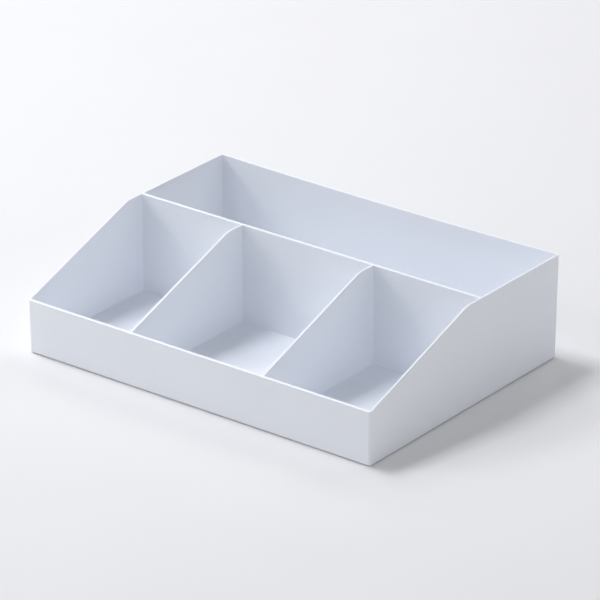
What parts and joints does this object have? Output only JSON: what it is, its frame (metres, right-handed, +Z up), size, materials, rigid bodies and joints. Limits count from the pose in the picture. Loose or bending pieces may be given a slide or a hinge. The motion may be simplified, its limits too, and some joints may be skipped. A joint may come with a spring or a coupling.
{
  "type": "compartment storage case",
  "caption": "Open-topped desk storage case: long rear compartment behind a full-width partition, front compartments with sloping walls and dividers, low front wall, round pad feet.",
  "frame": {"origin": "on the surface that the case stands on, under the middle of its outline", "axes": "+X across the case to the right as seen from its low front wall, +Y from the low front wall to the tall rear wall, +Z up"},
  "size_m": [0.25, 0.1832, 0.066],
  "materials": {
    "case_plastic": "satin white, faintly cool, fine moulded grain",
    "foot_silicone": "clear grey silicone, smooth"
  },
  "bodies": {
    "root": {"case_tray": "case_plastic", "foot_front_left": "foot_silicone", "foot_front_right": "foot_silicone", "foot_rear_left": "foot_silicone", "foot_rear_right": "foot_silicone"}
  },
  "joints": []
}
